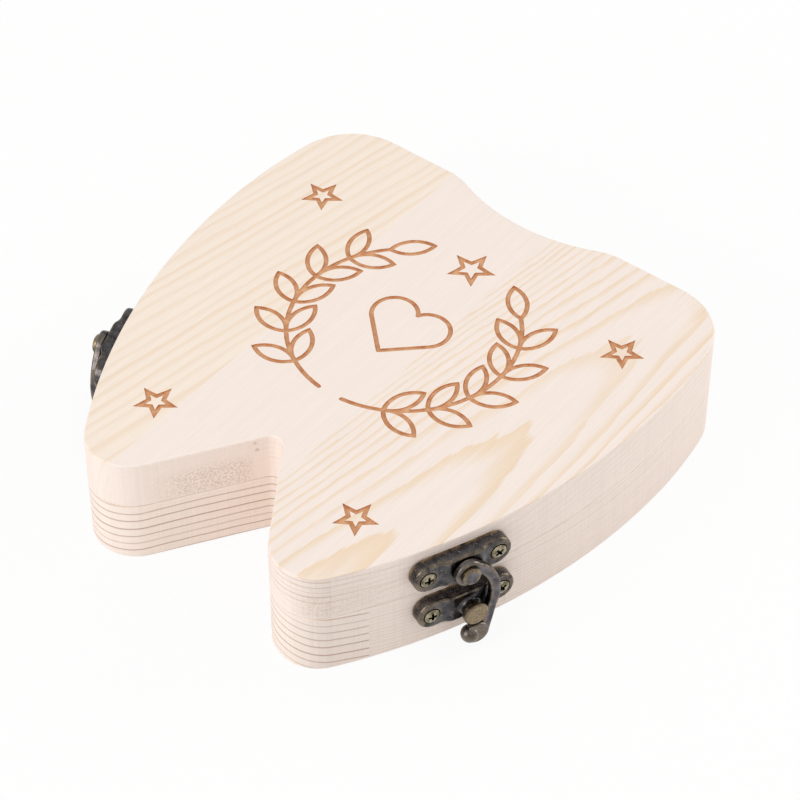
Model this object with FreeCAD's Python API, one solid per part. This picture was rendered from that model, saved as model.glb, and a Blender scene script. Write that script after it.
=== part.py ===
import FreeCAD, Part
import math
import os

# Tooth-shaped wooden keepsake box: a milled base and a solid lid,
# two hinges at the crown and a swing latch on each side.
# The frame has +Z up, +Y towards the crown and the origin under the middle of the wood, in millimetres.

V = FreeCAD.Vector
UP = V(0, 0, 1)

# Driving dimensions of the wood
body_width = 122.0
body_length = 124.6
base_height = 16.4
lid_height = 12.9
seam_gap = 0.15
outer_edge_round = 0.5
seam_edge_round = 0.2

# Driving dimensions of the tooth outline
crown_dip_depth = 5.3
crown_dip_radius = 48.0
cusp_inner_radius = 16.0
crown_corner_radius = 16.3
upper_side_radius = 124.0
widest_below_crown = 35.6
root_tip_radius = 10.4
root_tip_spacing = 53.16
notch_depth = 29.3
notch_radius = 3.0

# Driving dimensions of the wells and pockets milled into the base
well_count = 20
well_radius = 4.5
well_depth = 9.5
well_ring_half_width = 40.0
well_crown_wall = 5.3
well_notch_wall = 3.7
pocket_length = 40.0
pocket_depth = 10.5
pocket_gap = 6.5
pocket_well_wall = 10.25

# Driving dimensions of the line engraving on the lid
engraving_width = 1.1
engraving_depth = 0.35
wreath_radius = 27.0
wreath_top_gap_deg = 90.0
wreath_foot_gap_deg = 14.0
leaf_rows = 5
leaf_length = 10.5
leaf_width = 4.4
leaf_tilt_deg = 40.0
heart_lobe_radius = 5.4
heart_lobe_offset = 4.7
heart_point_drop = 12.0
heart_above_wreath_middle = 2.5
star_radius = 4.6
star_waist_share = 0.45
star_points = 5
star_place_shares = [(0.0, 0.6, 1.0), (0.72, 0.58, 0.85), (0.47, -0.66, 0.85)]

# Driving dimensions of the wood screws
screw_head_radius = 1.85
screw_head_rim = 0.15
screw_head_cone = 0.85
screw_head_dome = 0.4
screw_shank_radius = 1.05
screw_length = 8.0
screw_point = 2.0
screw_clearance = 0.05
recess_width = 0.6
recess_length = 2.15
recess_depth = 0.9
recess_turn_deg = 34.0

# Driving dimensions of the hinges
leaf_thickness = 1.0
leaf_edge_bevel = 0.25
barrel_radius = 1.6
barrel_length = 14.0
barrel_standoff = 0.2
knuckle_gap = 0.25
pin_radius = 0.75
pin_running_clearance = 0.05
pin_seat_clearance = 0.02
pin_overhang = 0.5
lobe_spread = 17.8
lobe_radius = 3.1
lobe_height = 8.75
scallop_radius = 9.0

# Driving dimensions of the swing latches
right_latch_above_roots = 30.4
left_latch_above_roots = 34.0
plate_length = 24.0
plate_height = 7.6
ear_thickness = 2.8
plate_edge_round = 0.6
pad_length = 7.0
pad_ramp = 3.0
latch_pad_rise = 0.9
catch_pad_rise = 0.8
plate_screw_spacing = 17.4
plate_screw_stand = 0.1
plate_screw_clearance = 0.3
latch_plate_rise = 6.5
catch_plate_drop = 5.6
catch_shift = 1.0
rivet_radius = 1.5
rivet_seat_clearance = 0.02
rivet_running_clearance = 0.06
rivet_head_radius = 2.25
rivet_head_thickness = 0.95
rivet_head_round = 0.35
hook_thickness = 1.9
hook_back_gap = 0.2
hook_front_gap = 0.1
hook_edge_round = 0.55
eye_radius = 3.4
arm_width = 2.6
arm_radius = 11.65
arm_centre_left = 5.05
arm_centre_drop = 8.4
arm_end_deg = 22.0
arm_run = 7.2
tail_radius = 2.9
tail_knob_radius = 2.1
tail_knob_offset = 1.6
tail_knob_turn_deg = 160.0
tail_forward = 1.2
post_foot_radius = 3.0
post_neck_radius = 2.1
post_head_radius = 2.95
post_head_thickness = 1.8
post_head_round = 0.35
post_length = 3.7
post_flare = 0.35

# Overrun of every cut past the face that it opens, and how near two levels are the same
overrun = 1.0
level_match = 0.01


# Levels and points of the outline that other pieces line up with
half_width = body_width / 2
crown_y = body_length / 2
root_y = -crown_y
dip_y = crown_y - crown_dip_depth
notch_y = root_y + notch_depth
widest_y = crown_y - widest_below_crown
lid_bottom = base_height + seam_gap
lid_top = lid_bottom + lid_height
seam_level = base_height + seam_gap / 2

dip_radii = crown_dip_radius + cusp_inner_radius
dip_half_width = math.sqrt(2 * dip_radii * crown_dip_depth - crown_dip_depth**2)
dip_angle = math.asin(dip_half_width / dip_radii)
dip_centre = V(0, dip_y + crown_dip_radius, 0)
cusp_centre = V(dip_half_width, crown_y - cusp_inner_radius, 0)

corner_rise = crown_y - crown_corner_radius - widest_y
corner_run = math.sqrt((upper_side_radius - crown_corner_radius) ** 2 - corner_rise**2)
corner_angle = math.atan2(corner_rise, corner_run)
upper_centre = V(half_width - upper_side_radius, widest_y, 0)
corner_centre = upper_centre + V(corner_run, corner_rise, 0)

tip_centre = V(root_tip_spacing / 2, root_y + root_tip_radius, 0)
tip_run = half_width - tip_centre.x
tip_drop = widest_y - tip_centre.y
lower_side_radius = (tip_run**2 + tip_drop**2 - root_tip_radius**2) / (2 * (tip_run - root_tip_radius))
tip_angle = -math.asin(tip_drop / (lower_side_radius - root_tip_radius))
lower_centre = V(half_width - lower_side_radius, widest_y, 0)

notch_centre = V(0, notch_y - notch_radius, 0)
notch_to_tip = tip_centre - notch_centre
wall_lean = math.acos((notch_radius + root_tip_radius) / notch_to_tip.Length)
wall_angle = math.atan2(notch_to_tip.y, notch_to_tip.x) + wall_lean


def around(centre, radius, angle):
    return centre + V(radius * math.cos(angle), radius * math.sin(angle), 0)


def arc(centre, radius, start, end):
    middle = around(centre, radius, (start + end) / 2)
    return Part.Arc(around(centre, radius, start), middle, around(centre, radius, end)).toShape()


def line(start, end):
    return Part.LineSegment(start, end).toShape()


def closed_face(edges):
    return Part.Face(Part.Wire(Part.__sortEdges__(edges)))


def prism(edges, height):
    return closed_face(edges).extrude(V(0, 0, height))


def turned(points_and_arcs):
    # A profile in radius (x) and height (z), closed along the axis and turned once around it
    return closed_face(points_and_arcs).revolve(V(0, 0, 0), UP, 360)


def chain(points):
    return [line(a, b) for a, b in zip(points, points[1:])]


def level_edges(solid, level):
    flat = [e for e in solid.Edges if e.BoundBox.ZLength < level_match]
    return [e for e in flat if abs(e.CenterOfMass.z - level) < level_match]


def one_solid(shape):
    return shape.removeSplitter().Solids[0]


def save(name, shape):
    shape.exportStep(os.path.join("parts", name + ".step"))


def face_frame(point, normal):
    # Local X runs to the right of someone who faces the surface, local Y up, local Z out of it
    right = UP.cross(normal)
    return FreeCAD.Placement(FreeCAD.Matrix(
        right.x, UP.x, normal.x, point.x,
        right.y, UP.y, normal.y, point.y,
        right.z, UP.z, normal.z, point.z,
        0, 0, 0, 1,
    ))


def placed(shape, frame):
    copy = shape.copy()
    copy.Placement = frame.multiply(copy.Placement)
    return copy


def moved(shape, x, y, z):
    return shape.translated(V(x, y, z))


# Where the hinges and latches sit: on the flats of the cusps and on the lower side arcs
hinge_x = (dip_half_width + corner_centre.x) / 2
latch_above_roots = {1: right_latch_above_roots, -1: left_latch_above_roots}
sides = {"right": 1, "left": -1}


def hinge_frame(side):
    return face_frame(V(side * hinge_x, crown_y, seam_level), V(0, 1, 0))


def latch_frame(side):
    angle = math.asin((root_y + latch_above_roots[side] - widest_y) / lower_side_radius)
    seat = around(lower_centre, lower_side_radius, angle)
    normal = V(side * math.cos(angle), math.sin(angle), 0)
    return face_frame(V(side * seat.x, seat.y, seam_level), normal)


# Tooth outline, right half from the crown dip down to the notch, then its mirror image
def tooth_edges():
    quarter = math.pi / 2
    tip_wall_angle = wall_angle - math.pi
    wall_foot = around(tip_centre, root_tip_radius, tip_wall_angle)
    wall_head = around(notch_centre, notch_radius, wall_angle)
    right = [
        arc(cusp_centre, cusp_inner_radius, quarter + dip_angle, quarter),
        line(V(dip_half_width, crown_y, 0), V(corner_centre.x, crown_y, 0)),
        arc(corner_centre, crown_corner_radius, quarter, corner_angle),
        arc(upper_centre, upper_side_radius, corner_angle, 0),
        arc(lower_centre, lower_side_radius, 0, tip_angle),
        arc(tip_centre, root_tip_radius, tip_angle, tip_wall_angle),
        line(wall_foot, wall_head),
    ]
    left = [edge.mirror(V(0, 0, 0), V(1, 0, 0)) for edge in right]
    dip = arc(dip_centre, crown_dip_radius, -quarter - dip_angle, -quarter + dip_angle)
    notch = arc(notch_centre, notch_radius, wall_angle, math.pi - wall_angle)
    return right + left + [dip, notch]


def tooth_block(level, height):
    return moved(prism(tooth_edges(), height), 0, 0, level)


# Screw turned about its axis: head rim at local Z = 0, point into the wood.
# Grown a little, the same profile cuts its hole.
def screw_body(growth, top):
    head = screw_head_radius + growth
    shank = screw_shank_radius + growth
    cone_end = -screw_head_rim - screw_head_cone
    tip = -screw_length - growth
    rise = top / 2
    dome_start = V(head, 0, 0)
    dome_end = V(0, 0, top)
    outside = chain([
        dome_end,
        V(0, 0, tip),
        V(shank, 0, tip + screw_point),
        V(shank, 0, cone_end),
        V(head, 0, -screw_head_rim),
        dome_start,
    ])
    if growth > 0:
        return turned(outside[:-1] + chain([V(head, 0, -screw_head_rim), V(head, 0, top), dome_end]))
    swell = V(head * math.sqrt(1 - rise / top), 0, rise)
    crown = Part.Arc(dome_start, swell, dome_end).toShape()
    return turned(outside + [crown])


def screw(turn_deg):
    body = screw_body(0, screw_head_dome)
    for angle in (turn_deg, turn_deg + 90):
        slot = Part.makeBox(recess_length, recess_width, recess_depth + overrun)
        slot = moved(slot, -recess_length / 2, -recess_width / 2, screw_head_dome - recess_depth)
        body = body.cut(slot.rotate(V(0, 0, 0), UP, angle))
    return one_solid(body)


def screw_group(places):
    return [placed(screw(n * recess_turn_deg), place) for n, place in enumerate(places)]


def screw_holes(places, clearance):
    cutter = screw_body(clearance, overrun)
    return [placed(cutter, place) for place in places]


def screw_places(frame, spacing, x, y, z):
    spots = [V(x - spacing / 2, y, z), V(x + spacing / 2, y, z)]
    return [frame.multiply(FreeCAD.Placement(spot, FreeCAD.Rotation())) for spot in spots]


def hinge_screw_places(direction):
    places = []
    for side in sides.values():
        frame = hinge_frame(side)
        places += screw_places(frame, lobe_spread, 0, direction * lobe_height, leaf_thickness)
    return places


def plate_screw_places(x, y):
    rim_level = ear_thickness + plate_screw_stand
    places = []
    for side in sides.values():
        places += screw_places(latch_frame(side), plate_screw_spacing, x, y, rim_level)
    return places


lid_hinge_screws = hinge_screw_places(1)
base_hinge_screws = hinge_screw_places(-1)
lid_latch_screws = plate_screw_places(0, latch_plate_rise)
base_latch_screws = plate_screw_places(catch_shift, -catch_plate_drop)


# Base: evenly spaced wells on an oval between the crown's dip and the notch, two longer pockets inside it
ring_top = dip_y - well_crown_wall - well_radius
ring_foot = notch_y + well_notch_wall + well_radius
ring_middle = (ring_top + ring_foot) / 2
ring_half_length = (ring_top - ring_foot) / 2
pocket_width = ring_half_length - well_radius - pocket_well_wall - pocket_gap / 2


def well_places():
    oval = FreeCAD.Matrix()
    oval.scale(1, ring_half_length / well_ring_half_width, 1)
    ring = Part.makeCircle(well_ring_half_width).transformGeometry(oval).Edges[0]
    return [V(0, ring_middle, 0) + place for place in ring.discretize(Number=well_count + 1)[1:]]


def base():
    solid = tooth_block(0, base_height)
    cuts = []
    for place in well_places():
        floor = place + V(0, 0, base_height - well_depth)
        cuts.append(Part.makeCylinder(well_radius, well_depth + overrun, floor))
    for side in (1, -1):
        pocket = slot_prism(pocket_length, pocket_width, pocket_depth + overrun)
        y = ring_middle + side * (pocket_gap + pocket_width) / 2
        cuts.append(moved(pocket, 0, y, base_height - pocket_depth))
    solid = solid.cut(cuts)
    solid = solid.makeFillet(seam_edge_round, level_edges(solid, base_height))
    solid = solid.makeFillet(outer_edge_round, level_edges(solid, 0))
    return one_solid(solid.cut(screw_holes(base_hinge_screws + base_latch_screws, screw_clearance)))


def slot_prism(length, width, height):
    # A slot with round ends along X, centred on the origin
    radius = width / 2
    reach = length / 2 - radius
    quarter = math.pi / 2
    return prism([
        line(V(-reach, -radius, 0), V(reach, -radius, 0)),
        arc(V(reach, 0, 0), radius, -quarter, quarter),
        line(V(reach, radius, 0), V(-reach, radius, 0)),
        arc(V(-reach, 0, 0), radius, quarter, 3 * quarter),
    ], height)


# Engraved lines on the lid: each cutter is one line of the engraving's width
groove_height = engraving_depth + overrun
half_line = engraving_width / 2


def line_groove(start, end):
    along = end - start
    slot = slot_prism(along.Length + engraving_width, engraving_width, groove_height)
    slot = slot.rotate(V(0, 0, 0), UP, math.degrees(math.atan2(along.y, along.x)))
    middle = (start + end) / 2
    return moved(slot, middle.x, middle.y, 0)


def arc_groove(centre, radius, start, end):
    inner = radius - half_line
    outer = radius + half_line
    return prism([
        arc(centre, outer, start, end),
        arc(around(centre, radius, end), half_line, end, end + math.pi),
        arc(centre, inner, end, start),
        arc(around(centre, radius, start), half_line, start + math.pi, start + 2 * math.pi),
    ], groove_height)


def leaf_shape(stem, heading, growth):
    # A pointed leaf of two arcs from the stem point outwards
    bulge = leaf_width / 2
    bend = (leaf_length**2 / 4 + bulge**2) / (2 * bulge)
    radius = bend + growth
    half_angle = math.acos((bend - bulge) / radius)
    middle = around(stem, leaf_length / 2, heading)
    right = around(middle, bend - bulge, heading - math.pi / 2)
    left = around(middle, bend - bulge, heading + math.pi / 2)
    facing_left = heading + math.pi / 2
    facing_right = heading - math.pi / 2
    return prism([
        arc(right, radius, facing_left - half_angle, facing_left + half_angle),
        arc(left, radius, facing_right - half_angle, facing_right + half_angle),
    ], groove_height)


def leaf_groove(stem, heading):
    return leaf_shape(stem, heading, half_line).cut(leaf_shape(stem, heading, -half_line))


def branch_grooves(middle, side):
    # One side of the wreath: a stem from the foot to the open top, leaves in pairs and one at the end
    foot = math.radians(wreath_foot_gap_deg / 2 - 90)
    top = math.radians(90 - wreath_top_gap_deg / 2)
    tilt = math.radians(leaf_tilt_deg)
    cutters = [arc_groove(middle, wreath_radius, foot, top)]
    for row in range(leaf_rows):
        turn = foot + (top - foot) * (row + 1) / (leaf_rows + 1)
        stem = around(middle, wreath_radius, turn)
        along = turn + math.pi / 2
        cutters.append(leaf_groove(stem, along - tilt))
        cutters.append(leaf_groove(stem, along + tilt))
    cutters.append(leaf_groove(around(middle, wreath_radius, top), top + math.pi / 2))
    if side > 0:
        return cutters
    return [cutter.mirror(V(0, 0, 0), V(1, 0, 0)) for cutter in cutters]


def heart_grooves(middle):
    point = middle - V(0, heart_point_drop, 0)
    cutters = []
    for side in (1, -1):
        lobe = middle + V(side * heart_lobe_offset, 0, 0)
        cleft = math.acos(-side * heart_lobe_offset / heart_lobe_radius)
        to_point = point - lobe
        lean = math.acos(heart_lobe_radius / to_point.Length)
        touch = math.atan2(to_point.y, to_point.x) + side * lean
        touch = touch if side > 0 else touch + 2 * math.pi
        cutters.append(arc_groove(lobe, heart_lobe_radius, min(touch, cleft), max(touch, cleft)))
        cutters.append(line_groove(around(lobe, heart_lobe_radius, touch), point))
    return cutters


def star_face(middle, radius):
    corners = []
    for n in range(2 * star_points):
        reach = radius if n % 2 == 0 else radius * star_waist_share
        corners.append(around(middle, reach, math.pi / 2 + n * math.pi / star_points))
    return prism(chain(corners + corners[:1]), groove_height)


def star_groove(middle, radius):
    # Every side of the star is equally far from its middle, so two sizes of it leave one even line
    turn = math.pi / star_points
    side_length = math.sqrt(1 + star_waist_share**2 - 2 * star_waist_share * math.cos(turn))
    side_distance = radius * star_waist_share * math.sin(turn) / side_length
    change_share = half_line / side_distance
    outside = star_face(middle, radius * (1 + change_share))
    return outside.cut(star_face(middle, radius * (1 - change_share)))


def engraving():
    middle = V(0, (dip_y + notch_y) / 2, 0)
    cutters = branch_grooves(middle, 1) + branch_grooves(middle, -1)
    cutters += heart_grooves(middle + V(0, heart_above_wreath_middle, 0))
    for x_share, y_share, size_share in star_place_shares:
        for side in ((1, -1) if x_share else (1,)):
            spot = V(side * x_share * half_width, y_share * crown_y, 0)
            cutters.append(star_groove(spot, star_radius * size_share))
    return [moved(cutter, 0, 0, lid_top - engraving_depth) for cutter in cutters]


# Lid: solid, flat underneath, engraved on top
def lid():
    solid = tooth_block(lid_bottom, lid_height)
    solid = solid.makeFillet(outer_edge_round, level_edges(solid, lid_top))
    solid = solid.makeFillet(seam_edge_round, level_edges(solid, lid_bottom))
    solid = solid.cut(screw_holes(lid_hinge_screws + lid_latch_screws, screw_clearance))
    return one_solid(solid.cut(engraving()))


# Hinges: a lobed leaf on each half, the lid's knuckle between the base's two, and a pin through all three
pin_offset = barrel_radius + barrel_standoff
leaf_start = barrel_radius + knuckle_gap
knuckle_length = barrel_length / 3


def leaf_plate():
    corner = V(barrel_length / 2, leaf_start, 0)
    lobe = V(lobe_spread / 2, lobe_height, 0)
    to_lobe = lobe - corner
    flank = math.atan2(to_lobe.y, to_lobe.x) - math.pi + math.acos(lobe_radius / to_lobe.Length)
    rise = math.sqrt((scallop_radius + lobe_radius) ** 2 - lobe.x**2)
    inner = math.atan2(rise, -lobe.x)
    scallop = V(0, lobe_height + rise, 0)
    right = [
        line(corner, around(lobe, lobe_radius, flank)),
        arc(lobe, lobe_radius, flank, inner),
    ]
    left = [edge.mirror(V(0, 0, 0), V(1, 0, 0)) for edge in right]
    top = arc(scallop, scallop_radius, inner - math.pi, -inner)
    foot = line(V(-corner.x, leaf_start, 0), corner)
    plate = prism(right + left + [top, foot], leaf_thickness)
    return plate.makeChamfer(leaf_edge_bevel, level_edges(plate, leaf_thickness))


def leaf(direction, spans, bore_clearance):
    plate = leaf_plate()
    for start, end in spans:
        knuckle = Part.makeCylinder(barrel_radius, end - start, V(start, 0, pin_offset), V(1, 0, 0))
        web = Part.makeBox(end - start, leaf_start + leaf_edge_bevel, leaf_thickness, V(start, 0, 0))
        plate = plate.fuse([knuckle, web])
    bore_radius = pin_radius + bore_clearance
    bore = Part.makeCylinder(bore_radius, 2 * barrel_length, V(-barrel_length, 0, pin_offset), V(1, 0, 0))
    plate = one_solid(plate.cut(bore))
    return plate if direction > 0 else plate.mirror(V(0, 0, 0), V(0, 1, 0))


def hinge_pin():
    length = barrel_length + 2 * pin_overhang
    pin = Part.makeCylinder(pin_radius, length, V(-length / 2, 0, pin_offset), V(1, 0, 0))
    ends = [e for e in pin.Edges if e.Closed]
    return pin.makeFillet(pin_overhang / 2, ends)


# Latch plates: round-ended ears that swell smoothly into a thicker pad in the middle
latch_pad_thickness = ear_thickness + latch_pad_rise
catch_pad_thickness = ear_thickness + catch_pad_rise


def plate(pad_rise):
    top = ear_thickness + pad_rise
    end = plate_length / 2
    crest = pad_length / 2
    foot = crest + pad_ramp
    bend = 2 * math.atan2(pad_rise, pad_ramp)
    bend_radius = pad_ramp / (2 * math.sin(bend))
    half_run = bend_radius * math.sin(bend / 2)
    half_drop = bend_radius * (1 - math.cos(bend / 2))
    slope_middle = V((crest + foot) / 2, 0, ear_thickness + pad_rise / 2)
    crest_bend = V(crest + half_run, 0, top - half_drop)
    foot_bend = V(foot - half_run, 0, ear_thickness + half_drop)
    right = [
        Part.Arc(V(crest, 0, top), crest_bend, slope_middle).toShape(),
        Part.Arc(slope_middle, foot_bend, V(foot, 0, ear_thickness)).toShape(),
    ]
    right += chain([V(foot, 0, ear_thickness), V(end, 0, ear_thickness), V(end, 0, 0)])
    left = [edge.mirror(V(0, 0, 0), V(1, 0, 0)) for edge in right]
    bounds = [line(V(-crest, 0, top), V(crest, 0, top)), line(V(-end, 0, 0), V(end, 0, 0))]
    swell = closed_face(right + left + bounds).extrude(V(0, plate_height, 0))
    solid = slot_prism(plate_length, plate_height, top).common(moved(swell, 0, -plate_height / 2, 0))
    above_foot = [e for e in solid.Edges if e.BoundBox.ZMin > level_match]
    rim = [e for e in above_foot if e.BoundBox.XLength > level_match]
    return solid.makeFillet(plate_edge_round, rim)


def latch_plate(side):
    seat_radius = rivet_radius + rivet_seat_clearance
    seat = Part.makeCylinder(seat_radius, latch_pad_thickness + 2 * overrun, V(0, 0, -overrun))
    solid = plate(latch_pad_rise).cut(seat)
    solid = placed(moved(solid, 0, latch_plate_rise, 0), latch_frame(side))
    return one_solid(solid.cut(screw_holes(lid_latch_screws, plate_screw_clearance)))


def catch_plate(side):
    # The post stands on the pad, waisted, with a flat round head
    top = catch_pad_thickness + post_length
    head_back = top - post_head_thickness
    neck = V(post_foot_radius, 0, catch_pad_thickness)
    waist = V(post_neck_radius, 0, (catch_pad_thickness + head_back) / 2)
    flare = V(post_head_radius - post_flare, 0, head_back)
    head = chain([
        flare,
        V(post_head_radius, 0, head_back + post_flare),
        V(post_head_radius, 0, top - post_head_round),
        V(post_head_radius - post_head_round, 0, top),
        V(0, 0, top),
    ])
    foot = chain([V(0, 0, top), V(0, 0, 0), V(post_foot_radius, 0, 0), neck])
    post = turned(head + foot + [Part.Arc(neck, waist, flare).toShape()])
    solid = moved(plate(catch_pad_rise).fuse(post), catch_shift, -catch_plate_drop, 0)
    solid = placed(solid, latch_frame(side))
    return one_solid(solid.cut(screw_holes(base_latch_screws, plate_screw_clearance)))


# Rivet: seated in the latch plate, with a flat head that keeps the hook on
hook_back = latch_pad_thickness + hook_back_gap
hook_front = hook_back + hook_thickness


def rivet(side):
    under = hook_front + hook_front_gap
    top = under + rivet_head_thickness
    rim = rivet_head_radius - rivet_head_round
    solid = turned(chain([
        V(0, 0, top),
        V(0, 0, 0),
        V(rivet_radius, 0, 0),
        V(rivet_radius, 0, under),
        V(rivet_head_radius, 0, under),
        V(rivet_head_radius, 0, top - rivet_head_round),
        V(rim, 0, top),
        V(0, 0, top),
    ]))
    return placed(moved(solid, 0, latch_plate_rise, 0), latch_frame(side))


# Hook: an eye on the rivet, an arm that runs off it in one curve, sweeps round the post and leans outwards,
# and a rounded tail with a knob on its side
def rounded_section(inner, outer):
    # Section in radius and height, with all four corners rounded
    turn = hook_edge_round
    reach = math.sqrt(0.5) * turn
    corners = []
    for x, z, out, up in (
        (outer, hook_back, 1, -1),
        (outer, hook_front, 1, 1),
        (inner, hook_front, -1, 1),
        (inner, hook_back, -1, -1),
    ):
        centre = V(x - out * turn, 0, z - up * turn)
        beside = centre + V(out * turn, 0, 0)
        between = centre + V(out * reach, 0, up * reach)
        level = centre + V(0, 0, up * turn)
        corners.append((beside, between, level))
    a, b, c, d = corners
    sides_and_faces = [line(a[0], b[0]), line(b[2], c[2]), line(c[0], d[0]), line(d[2], a[2])]
    return closed_face(sides_and_faces + [Part.Arc(*corner).toShape() for corner in corners])


def rounded_disc(centre, radius):
    rim = rounded_section(radius / 2, radius).revolve(V(0, 0, 0), UP, 360)
    middle = Part.makeCylinder(radius / 2 + hook_edge_round, hook_thickness, V(0, 0, hook_back))
    return rim.fuse(middle).translated(centre)


def hook(side):
    arm_centre = V(-arm_centre_left, -arm_centre_drop, 0)
    arm_start = math.atan2(arm_centre_drop, arm_centre_left)
    arm_end = -math.radians(arm_end_deg)
    arm = rounded_section(arm_radius - arm_width / 2, arm_radius + arm_width / 2)
    arm = arm.revolve(V(0, 0, 0), UP, math.degrees(arm_start - arm_end))
    arm = arm.rotate(V(0, 0, 0), UP, math.degrees(arm_end)).translated(arm_centre)
    arm_foot = around(arm_centre, arm_radius, arm_end)
    run_path = V(math.sin(arm_end), -math.cos(arm_end), 0) * arm_run + UP * tail_forward
    run = rounded_section(-arm_width / 2, arm_width / 2).rotate(V(0, 0, 0), UP, math.degrees(arm_end))
    run = run.translated(arm_foot).extrude(run_path)
    tail_centre = around(arm_foot + run_path, arm_width / 2 - tail_radius, arm_end)
    tail = rounded_disc(tail_centre, tail_radius)
    knob_place = around(tail_centre, tail_knob_offset, arm_end - math.radians(tail_knob_turn_deg))
    knob_place = knob_place + V(0, 0, hook_back + hook_thickness / 2)
    knob = Part.makeSphere(tail_knob_radius, knob_place, V(1, 0, 0))
    bore = rivet_radius + rivet_running_clearance
    hole = Part.makeCylinder(bore, hook_thickness + 2 * overrun, V(0, 0, hook_back - overrun))
    solid = rounded_disc(V(0, 0, 0), eye_radius).fuse([arm, run, tail, knob]).cut(hole)
    return placed(moved(one_solid(solid), 0, latch_plate_rise, 0), latch_frame(side))


def main():
    os.makedirs("parts", exist_ok=True)
    save("base", base())
    save("lid", lid())
    half_gap = knuckle_gap / 2
    inner = knuckle_length / 2
    lid_spans = [(-inner + half_gap, inner - half_gap)]
    base_spans = [(-barrel_length / 2, -inner - half_gap), (inner + half_gap, barrel_length / 2)]
    for name, side in sides.items():
        frame = hinge_frame(side)
        lid_leaf = placed(leaf(1, lid_spans, pin_running_clearance), frame)
        base_leaf = placed(leaf(-1, base_spans, pin_seat_clearance), frame)
        lid_holes = screw_holes(lid_hinge_screws, screw_clearance)
        base_holes = screw_holes(base_hinge_screws, screw_clearance)
        save(name + "_hinge_lid_leaf", one_solid(lid_leaf.cut(lid_holes)))
        save(name + "_hinge_base_leaf", one_solid(base_leaf.cut(base_holes)))
        save(name + "_hinge_pin", placed(hinge_pin(), frame))
        save(name + "_latch_plate", latch_plate(side))
        save(name + "_latch_rivet", rivet(side))
        save(name + "_latch_hook", hook(side))
        save(name + "_catch_plate", catch_plate(side))
    save("hinge_screws_lid", Part.makeCompound(screw_group(lid_hinge_screws)))
    save("hinge_screws_base", Part.makeCompound(screw_group(base_hinge_screws)))
    save("latch_screws_lid", Part.makeCompound(screw_group(lid_latch_screws)))
    save("latch_screws_base", Part.makeCompound(screw_group(base_latch_screws)))


main()
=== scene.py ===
import bpy
import math
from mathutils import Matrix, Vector

# Tooth-shaped pine box with blackened bronze latches, on a white studio table.
# The shapes come with the frame; this script gives them their finishes, the light and the camera.

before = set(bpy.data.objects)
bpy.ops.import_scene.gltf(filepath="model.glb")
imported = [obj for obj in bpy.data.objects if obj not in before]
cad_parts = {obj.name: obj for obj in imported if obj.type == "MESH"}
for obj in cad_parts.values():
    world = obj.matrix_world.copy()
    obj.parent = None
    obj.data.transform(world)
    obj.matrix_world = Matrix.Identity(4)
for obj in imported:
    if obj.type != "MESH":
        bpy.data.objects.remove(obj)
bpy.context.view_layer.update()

mmPerMetre = 1000.0
noiseSpan = (0.3, 0.7)               # nearly all of the noise lies between these
noiseMiddle = 0.5
white = (1.0, 1.0, 1.0, 1.0)


def linear(hexColour):
    # sRGB hex to linear light, as the shader sockets want it
    values = [int(hexColour[n:n + 2], 16) / 255 for n in (1, 3, 5)]
    return tuple(v / 12.92 if v <= 0.04045 else ((v + 0.055) / 1.055) ** 2.4 for v in values) + (1.0,)


def linkUp(tree, node, links):
    # inputs by name or in their order; each takes a socket, a node's first output, a hex colour or a value
    pairs = links.items() if isinstance(links, dict) else enumerate(links)
    for key, value in pairs:
        if isinstance(key, int):
            socket = node.inputs[key]
        else:
            socket = [s for s in node.inputs if s.name == key and s.enabled][0]
        if isinstance(value, bpy.types.Node):
            value = [s for s in value.outputs if s.enabled][0]
        if isinstance(value, bpy.types.NodeSocket):
            tree.links.new(value, socket)
        else:
            socket.default_value = linear(value) if isinstance(value, str) else value


def addNode(tree, kind, links, **settings):
    # one node with its settings and links
    node = tree.nodes.new("ShaderNode" + kind)
    for name, value in settings.items():
        setattr(node, name, value)
    linkUp(tree, node, links)
    return node


def newFinish(name):
    finish = bpy.data.materials.new(name)
    finish.use_nodes = True
    tree = finish.node_tree
    return finish, tree, tree.nodes["Principled BSDF"]


def onPiece(tree):
    # place on the piece in its own coordinates, mm, and the way its surface faces
    coord = addNode(tree, "TexCoord", {})
    here = addNode(tree, "VectorMath", {0: coord.outputs["Object"], "Scale": mmPerMetre}, operation="SCALE")
    return here, coord.outputs["Normal"]


def nearSpot(tree, here, spot, reach):
    # share that a spot has here: none at its outer reach, all of it from the inner one
    outer, inner, share = reach
    away = addNode(tree, "VectorMath", [here, spot], operation="DISTANCE").outputs["Value"]
    return addNode(tree, "MapRange", [away, outer, inner, 0.0, share])


def between(tree, value, limits):
    # 1 between the two inner limits, falling to 0 at the outer ones
    a, b, c, d = limits
    up = addNode(tree, "MapRange", [value, a, b])
    down = addNode(tree, "MapRange", [value, d, c])
    return addNode(tree, "Math", [up, down], operation="MULTIPLY")


def streaks(tree, here, size):
    # noise drawn out to streaks of the given size in x, y and z, mm
    drawn = addNode(tree, "Mapping", {"Vector": here, "Scale": [1 / v for v in size]})
    return addNode(tree, "TexNoise", {"Vector": drawn, "Scale": 1.0, "Detail": 3.0, "Roughness": 0.6})


# Pine. In every board the years are rings round a pith line, so the figure on the top, the lines on
# the ends and those on the sides all come from the same solid pattern.

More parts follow.
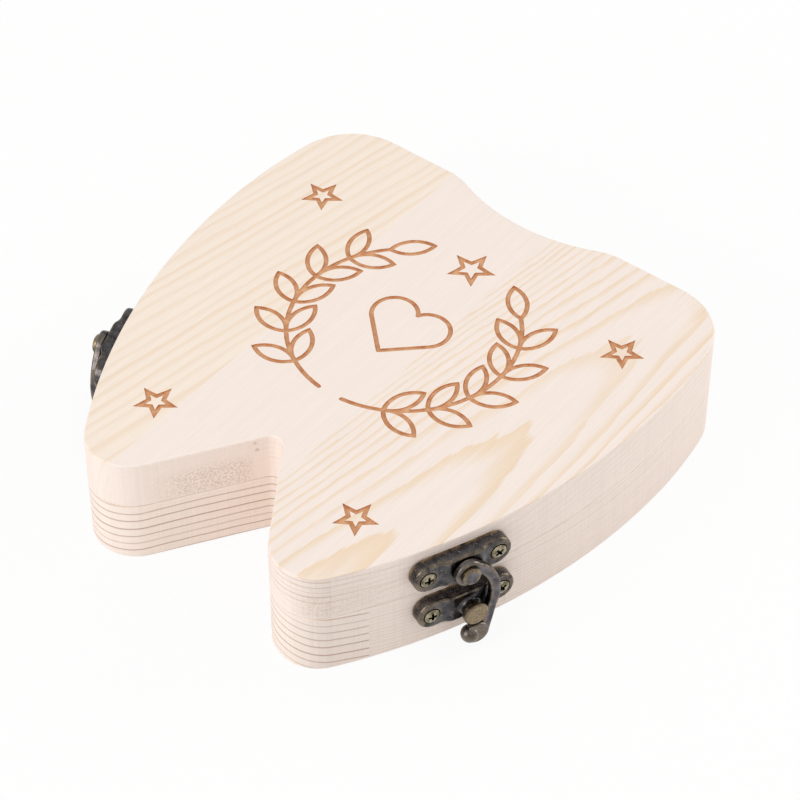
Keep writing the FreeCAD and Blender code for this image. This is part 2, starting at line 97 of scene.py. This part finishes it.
# Lid, right board: pith above the face and leaning, so the face is cut into arches,
# with crowded lines on their left
lidBoard = {
    "pith": (40.3, -2.0, 49.35),     # a point of the pith line, mm
    "lean": (3.75, 0.0, -3.8),       # turn of the pith line from +Y, degrees
    "year": 2.4,                     # usual ring width, mm
    "ringArea": 52.0,                # every year adds this area, mm2 a radian, so the rings crowd outwards
    "uneven": 0.5,                   # how far good and bad years move the rings, in rings
    "wander": 1.3,                   # waviness of the rings, mm
    "ragged": 1.1,                   # torn fibres at the tops of the arches, mm
    "faintest": 0.65,                # the palest year beside the darkest
    "lateWood": (0.48, 0.95, 1.0),   # where the darker wood starts, peaks and ends within a ring
    "onWalls": 0.10,                 # share of the rings that the sanded walls still show
}

# Lid, middle board: pinkish sapwood with hardly any lines
lidMiddle = {
    "pith": (-5.0, 0.0, 200.0),
    "lean": (0.5, 0.0, 2.0),
    "year": 2.2,
    "uneven": 0.8,
    "wander": 0.6,
    "lateWood": (0.5, 0.9, 1.0),
    "span": (-24.0, 8.5),            # from glue line to glue line, mm from the middle
    "share": 0.08,                   # how dark its years are beside the right board's
}

# Lid, left board: yellower, with straight lines that lean to the right
lidLeft = {
    "pith": (70.0, 0.0, 5.0),
    "lean": (0.8, 0.0, -9.0),
    "year": 2.9,
    "uneven": 1.6,
    "wander": 1.6,
    "lateWood": (0.30, 0.80, 1.0),
    "span": (-70.0, -24.0),
    "share": 0.62,
    "earlywood": "#f7e8d9",
    "latewood": "#eed4b7",
}

# Last years under the lid's face, which only its front edge shows, as thin lines
lidEdge = {
    "pith": (20.0, 0.0, -160.0),
    "lean": (0.15, 0.0, 0.6),
    "year": 1.62,
    "uneven": 0.5,
    "wander": 0.25,
    "lateWood": (0.62, 0.86, 1.0),
    "levels": (20.4, 21.6, 28.3, 28.9),      # heights between which the lines show, mm
    "reach": (-8.0, 18.0),                   # they fade in between these, mm from the middle
    "share": 0.55,                           # how dark they are beside the base's years
}

# Base, main board: flat years, pith far below
baseBoard = {
    "pith": (-12.0, 0.0, -210.0),
    "lean": (0.35, 0.0, 1.0),
    "year": 2.35,
    "uneven": 0.8,
    "wander": 0.45,
    "lateWood": (0.73, 0.93, 1.0),
    "onWalls": 1.0,
}

# Base, strip glued on along its right side: slow-grown, narrow years
baseStrip = {
    "pith": (20.0, 0.0, -120.0),
    "lean": (0.5, 0.0, -1.5),
    "year": 0.95,
    "uneven": 1.6,
    "wander": 0.35,
    "lateWood": (0.35, 0.9, 1.0),
    "span": (39.7, 70.0),
    "share": 0.22,
}

pineLook = {
    "earlywood": "#f6e8de",
    "latewood": "#f1d9bd",
    "wallEarly": "#f2e3d9",
    "wallLate": "#ae8a76",
    "faintest": 0.45,                # the palest year beside the darkest, where the board does not say
    "spell": 4.0,                    # good and bad years come in spells of about this many
    "wave": (42.0, 120.0, 42.0),     # length of the rings' waves in x, y and z, mm
    "waveSwing": 4.0,                # the noise keeps near its middle, so it is stretched this many times
    "tear": (1.0, 30.0, 1.0),        # size of the torn fibres, mm
    "wallTurn": (0.6, 0.15),         # how much a surface faces up where a wall starts and is full
    "sideTurn": (0.79, 0.92),        # how much a wall faces left or right to be a side
    "frontTurn": (0.1, -0.1),        # how much it faces back where the front starts and is full
    "fibre": (0.45, 16.0),           # width and length of a streak, mm; coarser than the real 0.05 to show
    "fibreShade": (0.97, 1.02),      # darkest and palest streak
    "levelLine": 0.85,               # spacing of the level lines along the sides, mm
    "levelShade": 0.0425,            # how much they darken and lighten the wood
    "levelWobble": (25.0, 25.0, 2.5),        # size of their waves, mm
    "levelSwing": 7.0,                       # and how far the waves move them, radians
    "uprightMark": (0.55, 40.0),     # width and height of the sander's marks on the walls, mm
    "markShade": 0.0275,             # how much they darken and lighten the wood
    "pore": 0.42,                    # cut fibre ends on the front, mm; coarser than the real 0.03 to show
    "poreSpan": (0.56, 0.40),        # noise at which a pit starts and is full
    "porePatches": (                 # pitted patches: left to right and in height, mm, and how marked
        ((-17.5, -12.0, -5.5, -3.5), (16.5, 17.5, 22.5, 26.0), 0.55),
        ((28.0, 32.0, 41.0, 47.0), (16.8, 18.0, 22.5, 25.8), 0.25),
    ),
    "pit": "#a9805f",
    "resin": ((-4.2, -36.1, 28.1), (-3.9, -35.8, 25.9)),     # two flecks high on the notch wall, mm
    "fleck": (0.8, 0.25, 0.55),      # where a fleck starts and is full, mm from its middle; how marked
    "resinColour": "#a07250",
    "paintedShadeEnd": (26.5, 33.0, 38.5, 42.0),      # painted shade on the front of the right end, left to right, mm
    "paintedShadeDepth": 0.115,                       # how much the painted shade darkens it
    "lateHeight": 0.5,               # how far late wood stands out beside a fibre
    "relief": (0.35, 0.00006),       # strength and height of the raised grain, m
    "silk": (0.5, 0.72),             # roughness between the fibres and on them
    "ior": 1.5,
    "gloss": 0.35,
}


def ringFigure(tree, here, board):
    # dark wood of one board, 0 to 1: radius from the wavy pith line, divided into years
    coarse = addNode(tree, "Mapping", {"Vector": here, "Scale": [1 / v for v in pineLook["wave"]]})
    wave = addNode(tree, "TexNoise", {"Vector": coarse, "Scale": 1.0, "Detail": 4.0, "Roughness": 0.6})
    centred = addNode(tree, "VectorMath", [wave.outputs["Color"], [noiseMiddle] * 3], operation="SUBTRACT")
    swing = pineLook["waveSwing"] * board["wander"]
    shifted = addNode(tree, "VectorMath", [centred, [swing] * 3, here], operation="MULTIPLY_ADD")
    lean = [math.radians(v) for v in board["lean"]]
    fromPith = addNode(tree, "Mapping", {"Vector": shifted, "Location": board["pith"], "Rotation": lean},
                       vector_type="TEXTURE")
    across = addNode(tree, "VectorMath", [fromPith, (1, 0, 1)], operation="MULTIPLY")     # not along it
    radius = addNode(tree, "VectorMath", [across], operation="LENGTH").outputs["Value"]
    spell = addNode(tree, "Math", [radius, 1 / (pineLook["spell"] * board["year"])], operation="MULTIPLY")
    fortune = addNode(tree, "TexNoise", {"W": spell, "Scale": 1.0, "Detail": 1.0}, noise_dimensions="1D")
    moved = addNode(tree, "Math", [fortune, board["uneven"]], operation="MULTIPLY")
    if "ragged" in board:
        torn = streaks(tree, here, pineLook["tear"])
        torn = addNode(tree, "Math", [torn, noiseMiddle], operation="SUBTRACT")
        radius = addNode(tree, "Math", [torn, board["ragged"], radius], operation="MULTIPLY_ADD")
    grown, perYear = radius, board["year"]
    if "ringArea" in board:
        grown = addNode(tree, "Math", [radius, radius], operation="MULTIPLY")
        perYear = 2 * board["ringArea"]      # the area to a radian is half the square of the radius
    years = addNode(tree, "Math", [grown, 1 / perYear, moved], operation="MULTIPLY_ADD")
    season = addNode(tree, "Math", [years], operation="FRACT")
    count = addNode(tree, "Math", [years], operation="FLOOR")
    chance = addNode(tree, "TexWhiteNoise", {"W": count}, noise_dimensions="1D").outputs["Value"]
    faintest = board.get("faintest", pineLook["faintest"])
    depth = addNode(tree, "MapRange", [chance, 0.0, 1.0, faintest, 1.0])
    start, peak, end = board["lateWood"]
    rise = addNode(tree, "MapRange", [season, start, peak], interpolation_type="SMOOTHSTEP")
    fall = addNode(tree, "MapRange", [season, end, peak], interpolation_type="SMOOTHSTEP")
    band = addNode(tree, "Math", [rise, fall], operation="MULTIPLY")
    return addNode(tree, "Math", [band, depth], operation="MULTIPLY")


# Laser lines: the groove's floor and sides are scorched brown, uneven where the beam dwelt
laserLines = {
    "top": 29.35,                    # heights between which the wood may be scorched, mm
    "floor": 29.07,
    "flat": 0.9,                     # the floor faces up more than this
    "steep": 0.25,                   # the sides less than this
    "dwell": 0.45,                   # paler and darker places to a millimetre
    "dwellSpan": (0.35, 0.65),
    "dark": "#c98a5c",
    "light": "#dfae84",
}


def scorch(tree, here, height, upward, wood, lines):
    below = addNode(tree, "Math", [height, lines["top"]], operation="LESS_THAN")
    above = addNode(tree, "Math", [height, lines["floor"]], operation="GREATER_THAN")
    flat = addNode(tree, "Math", [upward, lines["flat"]], operation="GREATER_THAN")
    steep = addNode(tree, "Math", [upward, lines["steep"]], operation="LESS_THAN")
    floor = addNode(tree, "Math", [below, flat], operation="MULTIPLY")
    either = addNode(tree, "Math", [floor, steep], operation="MAXIMUM")
    burnt = addNode(tree, "Math", [either, above], operation="MULTIPLY")
    dwell = addNode(tree, "TexNoise", {"Vector": here, "Scale": lines["dwell"], "Detail": 4.0})
    paler = addNode(tree, "MapRange", [dwell, *lines["dwellSpan"]])
    brown = addNode(tree, "Mix", {"Factor": paler, "A": lines["dark"], "B": lines["light"]},
                    data_type="RGBA")
    return addNode(tree, "Mix", {"Factor": burnt, "A": wood, "B": brown}, data_type="RGBA")


def pine(name, board, strips, edge=None, lines=None):
    # planed and sanded pine: cream early wood and soft orange late wood,
    # matt with a faint silk along the fibres
    finish, tree, shader = newFinish(name)
    here, normal = onPiece(tree)
    place = addNode(tree, "SeparateXYZ", [here]).outputs
    facing = addNode(tree, "SeparateXYZ", [normal]).outputs
    upward = addNode(tree, "Math", [facing["Z"]], operation="ABSOLUTE")
    sideways = addNode(tree, "Math", [facing["X"]], operation="ABSOLUTE")
    wall = addNode(tree, "MapRange", [upward, *pineLook["wallTurn"]])
    side = addNode(tree, "MapRange", [sideways, *pineLook["sideTurn"]])
    side = addNode(tree, "Math", [side, wall], operation="MULTIPLY")
    front = addNode(tree, "Math", [wall, side], operation="SUBTRACT", use_clamp=True)
    forward = addNode(tree, "MapRange", [facing["Y"], *pineLook["frontTurn"]])
    front = addNode(tree, "Math", [front, forward], operation="MULTIPLY")

    # years of the main board, and of the boards glued to it between their glue lines
    late = ringFigure(tree, here, board)
    early, dark = pineLook["earlywood"], pineLook["latewood"]
    for strip in strips:
        start, end = strip["span"]
        inside = addNode(tree, "Math", [place["X"], (start + end) / 2, (end - start) / 2],
                         operation="COMPARE")
        own = addNode(tree, "Math", [ringFigure(tree, here, strip), strip["share"]], operation="MULTIPLY")
        late = addNode(tree, "Mix", {"Factor": inside, "A": late, "B": own}, data_type="FLOAT")
        if "earlywood" in strip:
            early = addNode(tree, "Mix", {"Factor": inside, "A": early, "B": strip["earlywood"]},
                            data_type="RGBA")
            dark = addNode(tree, "Mix", {"Factor": inside, "A": dark, "B": strip["latewood"]},
                           data_type="RGBA")
    kept = addNode(tree, "MapRange", [wall, 0.0, 1.0, 1.0, board["onWalls"]])
    late = addNode(tree, "Math", [late, kept], operation="MULTIPLY")
    if edge:
        thin = addNode(tree, "Math", [ringFigure(tree, here, edge), edge["share"]], operation="MULTIPLY")
        fade = addNode(tree, "MapRange", [place["X"], *edge["reach"]])
        zone = between(tree, place["Z"], edge["levels"])
        zone = addNode(tree, "Math", [zone, fade], operation="MULTIPLY")
        zone = addNode(tree, "Math", [zone, front], operation="MULTIPLY")
        late = addNode(tree, "Math", [thin, zone, late], operation="MULTIPLY_ADD", use_clamp=True)

    # the walls soak up more than the face and show the years darker
    early = addNode(tree, "Mix", {"Factor": wall, "A": early, "B": pineLook["wallEarly"]}, data_type="RGBA")
    dark = addNode(tree, "Mix", {"Factor": wall, "A": dark, "B": pineLook["wallLate"]}, data_type="RGBA")
    colour = addNode(tree, "Mix", {"Factor": late, "A": early, "B": dark}, data_type="RGBA")

    # fibre streaks along the board, upright sander marks on the walls, level lines along the sides
    width, length = pineLook["fibre"]
    fibre = streaks(tree, here, (width, length, width))
    shade = addNode(tree, "MapRange", [fibre, *noiseSpan, *pineLook["fibreShade"]])
    width, tall = pineLook["uprightMark"]
    upright = streaks(tree, here, (width, width, tall))
    scored = addNode(tree, "MapRange", [upright, *noiseSpan, -pineLook["markShade"], pineLook["markShade"]])
    shade = addNode(tree, "Math", [scored, wall, shade], operation="MULTIPLY_ADD")
    wobble = streaks(tree, here, pineLook["levelWobble"])
    turns = addNode(tree, "Math", [place["Z"], 2 * math.pi / pineLook["levelLine"]], operation="MULTIPLY")
    turns = addNode(tree, "Math", [wobble, pineLook["levelSwing"], turns], operation="MULTIPLY_ADD")
    level = addNode(tree, "Math", [turns], operation="SINE")
    level = addNode(tree, "Math", [level, side], operation="MULTIPLY")
    shade = addNode(tree, "Math", [level, pineLook["levelShade"], shade], operation="MULTIPLY_ADD")
    # painted shade: the front faces of the right end are darkened
    paintedShadeFront = between(tree, place["X"], pineLook["paintedShadeEnd"])
    paintedShadeFront = addNode(tree, "Math", [paintedShadeFront, front], operation="MULTIPLY")
    shade = addNode(tree, "Math", [paintedShadeFront, -pineLook["paintedShadeDepth"], shade], operation="MULTIPLY_ADD")
    colour = addNode(tree, "Mix", {"Factor": 1.0, "A": colour, "B": shade},
                     data_type="RGBA", blend_type="MULTIPLY")

    # pitted patches of cut fibre ends on the front, resin flecks, scorched lines
    pores = addNode(tree, "TexNoise", {"Vector": here, "Scale": 1 / pineLook["pore"], "Detail": 1.0})
    pitted = addNode(tree, "MapRange", [pores, *pineLook["poreSpan"]])
    pitted = addNode(tree, "Math", [pitted, front], operation="MULTIPLY")
    for reach, levels, marked in pineLook["porePatches"]:
        across, upwards = between(tree, place["X"], reach), between(tree, place["Z"], levels)
        zone = addNode(tree, "Math", [across, upwards], operation="MULTIPLY")
        share = addNode(tree, "Math", [zone, marked], operation="MULTIPLY")
        pits = addNode(tree, "Math", [pitted, share], operation="MULTIPLY")
        colour = addNode(tree, "Mix", {"Factor": pits, "A": colour, "B": pineLook["pit"]}, data_type="RGBA")
    for spot in pineLook["resin"]:
        fleck = nearSpot(tree, here, spot, pineLook["fleck"])
        fleck = addNode(tree, "Math", [fleck, wall], operation="MULTIPLY")
        colour = addNode(tree, "Mix", {"Factor": fleck, "A": colour, "B": pineLook["resinColour"]},
                         data_type="RGBA")
    if lines:
        colour = scorch(tree, here, place["Z"], facing["Z"], colour, lines)

    raised = addNode(tree, "Math", [late, pineLook["lateHeight"], fibre], operation="MULTIPLY_ADD")
    strength, height = pineLook["relief"]
    bump = addNode(tree, "Bump", {"Height": raised, "Strength": strength, "Distance": height})
    rough = addNode(tree, "MapRange", [fibre, 0.0, 1.0, *pineLook["silk"]])
    linkUp(tree, shader, {"Base Color": colour, "Roughness": rough, "Normal": bump,
                          "IOR": pineLook["ior"], "Specular IOR Level": pineLook["gloss"]})
    return finish


# Zinc casting with an antique bronze finish: blackened all over, rubbed back to brass on the edges,
# dusty on the flats; painted shade darkens its hollows and the gaps between parts
plateLook = {
    "black": ("#3a383a", "#5d5a5c"),         # the blackening, thick and thin
    # painted shade: near-black in hollows and between parts
    "paintedShade": "#151314",
    "rubbed": "#a99169",
    "worn": 0.88,                            # share of the edges that is rubbed
    "dust": 0.45,
    "spots": ((56.3, -33.8, 10.9), (-57.1, -31.9, 10.9)),    # heads of the posts, which the hooks polish, mm
    "polish": (3.6, 2.2, 0.75),              # where the polish starts and is full, mm from a spot; its share
}
# the pieces that fingers move and rub all over
hookLook = {
    "black": ("#474548", "#6d696e"),
    # painted shade: dark in hollows and between parts
    "paintedShade": "#2a2827",
    "rubbed": "#a08b63",
    "worn": 0.85,
    "dust": 0.2,
    "spots": ((54.9, -33.2, 2.8), (-56.2, -31.7, 2.8)),      # knobs of the hooks, where fingers lift them, mm
    "polish": (5.0, 2.8, 0.42),
}
castLook = {
    "clouds": 0.45,                  # clouds of thick and thin blackening to a millimetre
    "cloudSpan": (0.36, 0.64),
    "paintedShadeReach": 0.003,            # how near other metal has to be for a hollow's painted shade, m
    "paintedShadeSpan": (0.25, 0.85),      # how open it is where the painted shade is darkest and where it ends
    "edgeReach": 0.0010,             # how far in from an edge the rubbing reaches, m
    "edgeSpan": (0.95, 0.62),        # how thick the metal is where the rubbing starts and is full
    "wornSpan": (0.36, 0.60),        # the rubbing follows the clouds too
    "leastWorn": 0.1,
    "grit": 0.40,                    # sand grain of the casting, mm
    "sparedSpan": (0.35, 0.60),      # the polish spares the low places between the grains
    "spared": 0.35,
    "speck": 0.32,                   # dust specks, mm; drawn coarser than the real 0.05 mm to show
    "speckSpan": (0.73, 0.80),
    "dustColour": "#b9b6b2",
    "rough": (0.18, 0.40),           # in the low places of the grain and on top
    "relief": (0.4, 0.00008),        # strength and height of the grain, m
}
hollowRays = 8                       # rays that feel for hollows, which get painted shade, and for edges


def antiqueBronze(name, look):
    finish, tree, shader = newFinish(name)
    here, _ = onPiece(tree)
    grit = addNode(tree, "TexNoise", {"Vector": here, "Scale": 1 / castLook["grit"], "Detail": 3.0})
    cloud = addNode(tree, "TexNoise", {"Vector": here, "Scale": castLook["clouds"], "Detail": 3.0})
    thick, thin = look["black"]
    cover = addNode(tree, "MapRange", [cloud, *castLook["cloudSpan"]])
    black = addNode(tree, "Mix", {"Factor": cover, "A": thick, "B": thin}, data_type="RGBA")
    # painted shade: near-black where other metal is close, in hollows and between parts
    around = addNode(tree, "AmbientOcclusion", {"Distance": castLook["paintedShadeReach"]}, samples=hollowRays)
    paintedShade = addNode(tree, "MapRange", [around.outputs["AO"], *castLook["paintedShadeSpan"]])
    black = addNode(tree, "Mix", {"Factor": paintedShade, "A": look["paintedShade"], "B": black}, data_type="RGBA")
    # looking inwards, the metal is thin near an edge and on a knob: that is where hands rub it
    within = addNode(tree, "AmbientOcclusion", {"Distance": castLook["edgeReach"]},
                     samples=hollowRays, inside=True)
    edge = addNode(tree, "MapRange", [within.outputs["AO"], *castLook["edgeSpan"]])
    uneven = addNode(tree, "MapRange", [cloud, *castLook["wornSpan"], castLook["leastWorn"], look["worn"]])
    rubbed = addNode(tree, "Math", [edge, uneven], operation="MULTIPLY", use_clamp=True)
    spared = addNode(tree, "MapRange", [grit, *castLook["sparedSpan"], castLook["spared"], 1.0])
    for spot in look["spots"]:
        polish = nearSpot(tree, here, spot, look["polish"])
        polish = addNode(tree, "Math", [polish, spared], operation="MULTIPLY")
        rubbed = addNode(tree, "Math", [rubbed, polish], operation="MAXIMUM")
    colour = addNode(tree, "Mix", {"Factor": rubbed, "A": black, "B": look["rubbed"]}, data_type="RGBA")
    specks = addNode(tree, "TexNoise", {"Vector": here, "Scale": 1 / castLook["speck"], "Detail": 0.0})
    dust = addNode(tree, "MapRange", [specks, *castLook["speckSpan"], 0.0, look["dust"]])
    colour = addNode(tree, "Mix", {"Factor": dust, "A": colour, "B": castLook["dustColour"]},
                     data_type="RGBA")
    rough = addNode(tree, "MapRange", [grit, *noiseSpan, *castLook["rough"]])
    strength, height = castLook["relief"]
    bump = addNode(tree, "Bump", {"Height": grit, "Strength": strength, "Distance": height})
    linkUp(tree, shader, {"Base Color": colour, "Roughness": rough, "Normal": bump, "Metallic": 1.0})
    return finish


# Steel wood screw, thinly brass plated and dulled: pale rim, tarnish in clouds, painted shade in the recess
# and round the head
screwLook = {
    "bright": "#b0a68e",
    "dull": "#645b48",
    # painted shade in the screw's recess and round its head
    "paintedRecessShade": "#141211",
    "clouds": 1.1,                   # clouds of tarnish to a millimetre
    "cloudSpan": (0.38, 0.66),
    "recessReach": 0.0012,           # how near the recess's walls have to be for its painted shade, m
    "recessSpan": (0.75, 0.35),      # how open it is where the painted shade starts and is full
    "rough": (0.22, 0.5),            # where it is bright and where it is dull
}


def platedScrew(name):
    finish, tree, shader = newFinish(name)
    here, _ = onPiece(tree)
    cloud = addNode(tree, "TexNoise", {"Vector": here, "Scale": screwLook["clouds"], "Detail": 4.0})
    tarnish = addNode(tree, "MapRange", [cloud, *screwLook["cloudSpan"]])
    metal = addNode(tree, "Mix", {"Factor": tarnish, "A": screwLook["bright"], "B": screwLook["dull"]},
                    data_type="RGBA")
    # painted shade: near-black where the recess's walls are close
    around = addNode(tree, "AmbientOcclusion", {"Distance": screwLook["recessReach"]}, samples=hollowRays)
    paintedRecessShade = addNode(tree, "MapRange", [around.outputs["AO"], *screwLook["recessSpan"]])
    colour = addNode(tree, "Mix", {"Factor": paintedRecessShade, "A": metal, "B": screwLook["paintedRecessShade"]},
                     data_type="RGBA")
    rough = addNode(tree, "MapRange", [cloud, 0.0, 1.0, *screwLook["rough"]])
    linkUp(tree, shader, {"Base Color": colour, "Roughness": rough, "Metallic": 1.0})
    return finish


finishes = {
    "base_pine": pine("sanded pine, base", baseBoard, [baseStrip]),
    "lid_pine": pine("sanded pine, lid", lidBoard, [lidMiddle, lidLeft], edge=lidEdge, lines=laserLines),
    "antique_bronze": antiqueBronze("antique bronze casting", plateLook),
    "brassed_screw": platedScrew("brassed steel screw"),
}
rubbedBronze = antiqueBronze("antique bronze casting, rubbed", hookLook)
for name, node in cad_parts.items():
    for slot in node.material_slots:
        handled = name.endswith(("hook", "rivet"))
        slot.material = rubbedBronze if handled else finishes[slot.material.name.split(".")[0]]
print("finishes:", ", ".join(finishes))


# Studio: a white table that runs out to a white room, a large soft lamp at the front and one behind
# on the right
studio = {
    "tableSize": 30.0,               # m, so that its edge lies far off
    "tableColour": "#f7f6f4",
    "tableRough": 0.9,
    "tableGlow": 0.90,               # share of the table that stays white to the eye and to reflections
    "sky": (0.62, 0.82),             # strength of the room at the horizon and overhead
    "skyRise": (0.1, 0.75),          # heights on the dome where the one ends and the other starts
    "lamps": {                       # place, size in m, power in W
        "soft lamp, front": ((-0.26, -0.96, 0.46), 0.8, 4.4),
        "soft lamp, back": ((0.52, 0.90, 0.38), 0.8, 4.0),
    },
}


def whiteTable():
    # a flat square: x and y run from edge to edge, at the level of the box's underside
    half = studio["tableSize"] / 2
    corners = [(-half, -half, 0), (half, -half, 0), (half, half, 0), (-half, half, 0)]
    mesh = bpy.data.meshes.new("table")
    mesh.from_pydata(corners, [], [(0, 1, 2, 3)])
    table = bpy.data.objects.new("table", mesh)
    bpy.context.scene.collection.objects.link(table)
    # matt white paper: mostly plain white to the eye, the rest takes the light and keeps a faint shadow
    finish, tree, shader = newFinish("white paper sweep")
    ray = addNode(tree, "LightPath", {}).outputs
    seen = addNode(tree, "Math", [ray["Is Camera Ray"], ray["Is Glossy Ray"]], operation="MAXIMUM")
    seen = addNode(tree, "Math", [seen, ray["Is Transmission Ray"]], operation="MAXIMUM")
    share = addNode(tree, "Math", [seen, studio["tableGlow"]], operation="MULTIPLY")
    linkUp(tree, shader, {"Base Color": studio["tableColour"], "Roughness": studio["tableRough"],
                          "Specular IOR Level": 0.0})
    glow = addNode(tree, "Emission", {"Color": white, "Strength": 1.0})
    mixed = addNode(tree, "MixShader", [share, shader, glow])
    linkUp(tree, tree.nodes["Material Output"], {"Surface": mixed})
    mesh.materials.append(finish)


def whiteRoom():
    # brighter towards the ceiling
    world = bpy.data.worlds.new("white room")
    world.use_nodes = True
    tree = world.node_tree
    coord = addNode(tree, "TexCoord", {})
    aim = addNode(tree, "SeparateXYZ", [coord.outputs["Generated"]]).outputs
    strength = addNode(tree, "MapRange", [aim["Z"], *studio["skyRise"], *studio["sky"]],
                       interpolation_type="SMOOTHSTEP")
    linkUp(tree, tree.nodes["Background"], {"Color": white, "Strength": strength})
    bpy.context.scene.world = world


def aimed(spot, target):
    # turn of a lamp or camera that stands at the spot and looks at the target
    return (Vector(target) - Vector(spot)).to_track_quat("-Z", "Y").to_euler()


def softLamp(name, spot, size, power):
    lamp = bpy.data.lights.new(name, "AREA")
    lamp.shape = "DISK"
    lamp.size = size
    lamp.energy = power
    holder = bpy.data.objects.new(name, lamp)
    holder.location = spot
    holder.rotation_euler = aimed(spot, (0, 0, 0))
    bpy.context.scene.collection.objects.link(holder)


whiteTable()
whiteRoom()
for name, (spot, size, power) in studio["lamps"].items():
    softLamp(name, spot, size, power)

# Camera: from the front right and above, long lens
cameraPlace = {
    "eye": (0.3084, -0.3802, 0.5016),        # m
    "aim": (0.0138, -0.0070, 0.0295),
    "lens": 135.0,                           # mm
    "sensor": 36.0,                          # width, mm
    "nearest": 0.01,                         # things nearer than this are not seen, m
}
lens = bpy.data.cameras.new("camera")
lens.lens = cameraPlace["lens"]
lens.sensor_width = cameraPlace["sensor"]
lens.clip_start = cameraPlace["nearest"]
camera = bpy.data.objects.new("camera", lens)
camera.location = cameraPlace["eye"]
camera.rotation_euler = aimed(cameraPlace["eye"], cameraPlace["aim"])
bpy.context.scene.collection.objects.link(camera)
bpy.context.scene.camera = camera
bpy.context.scene.view_settings.view_transform = "Standard"
print("studio ready")
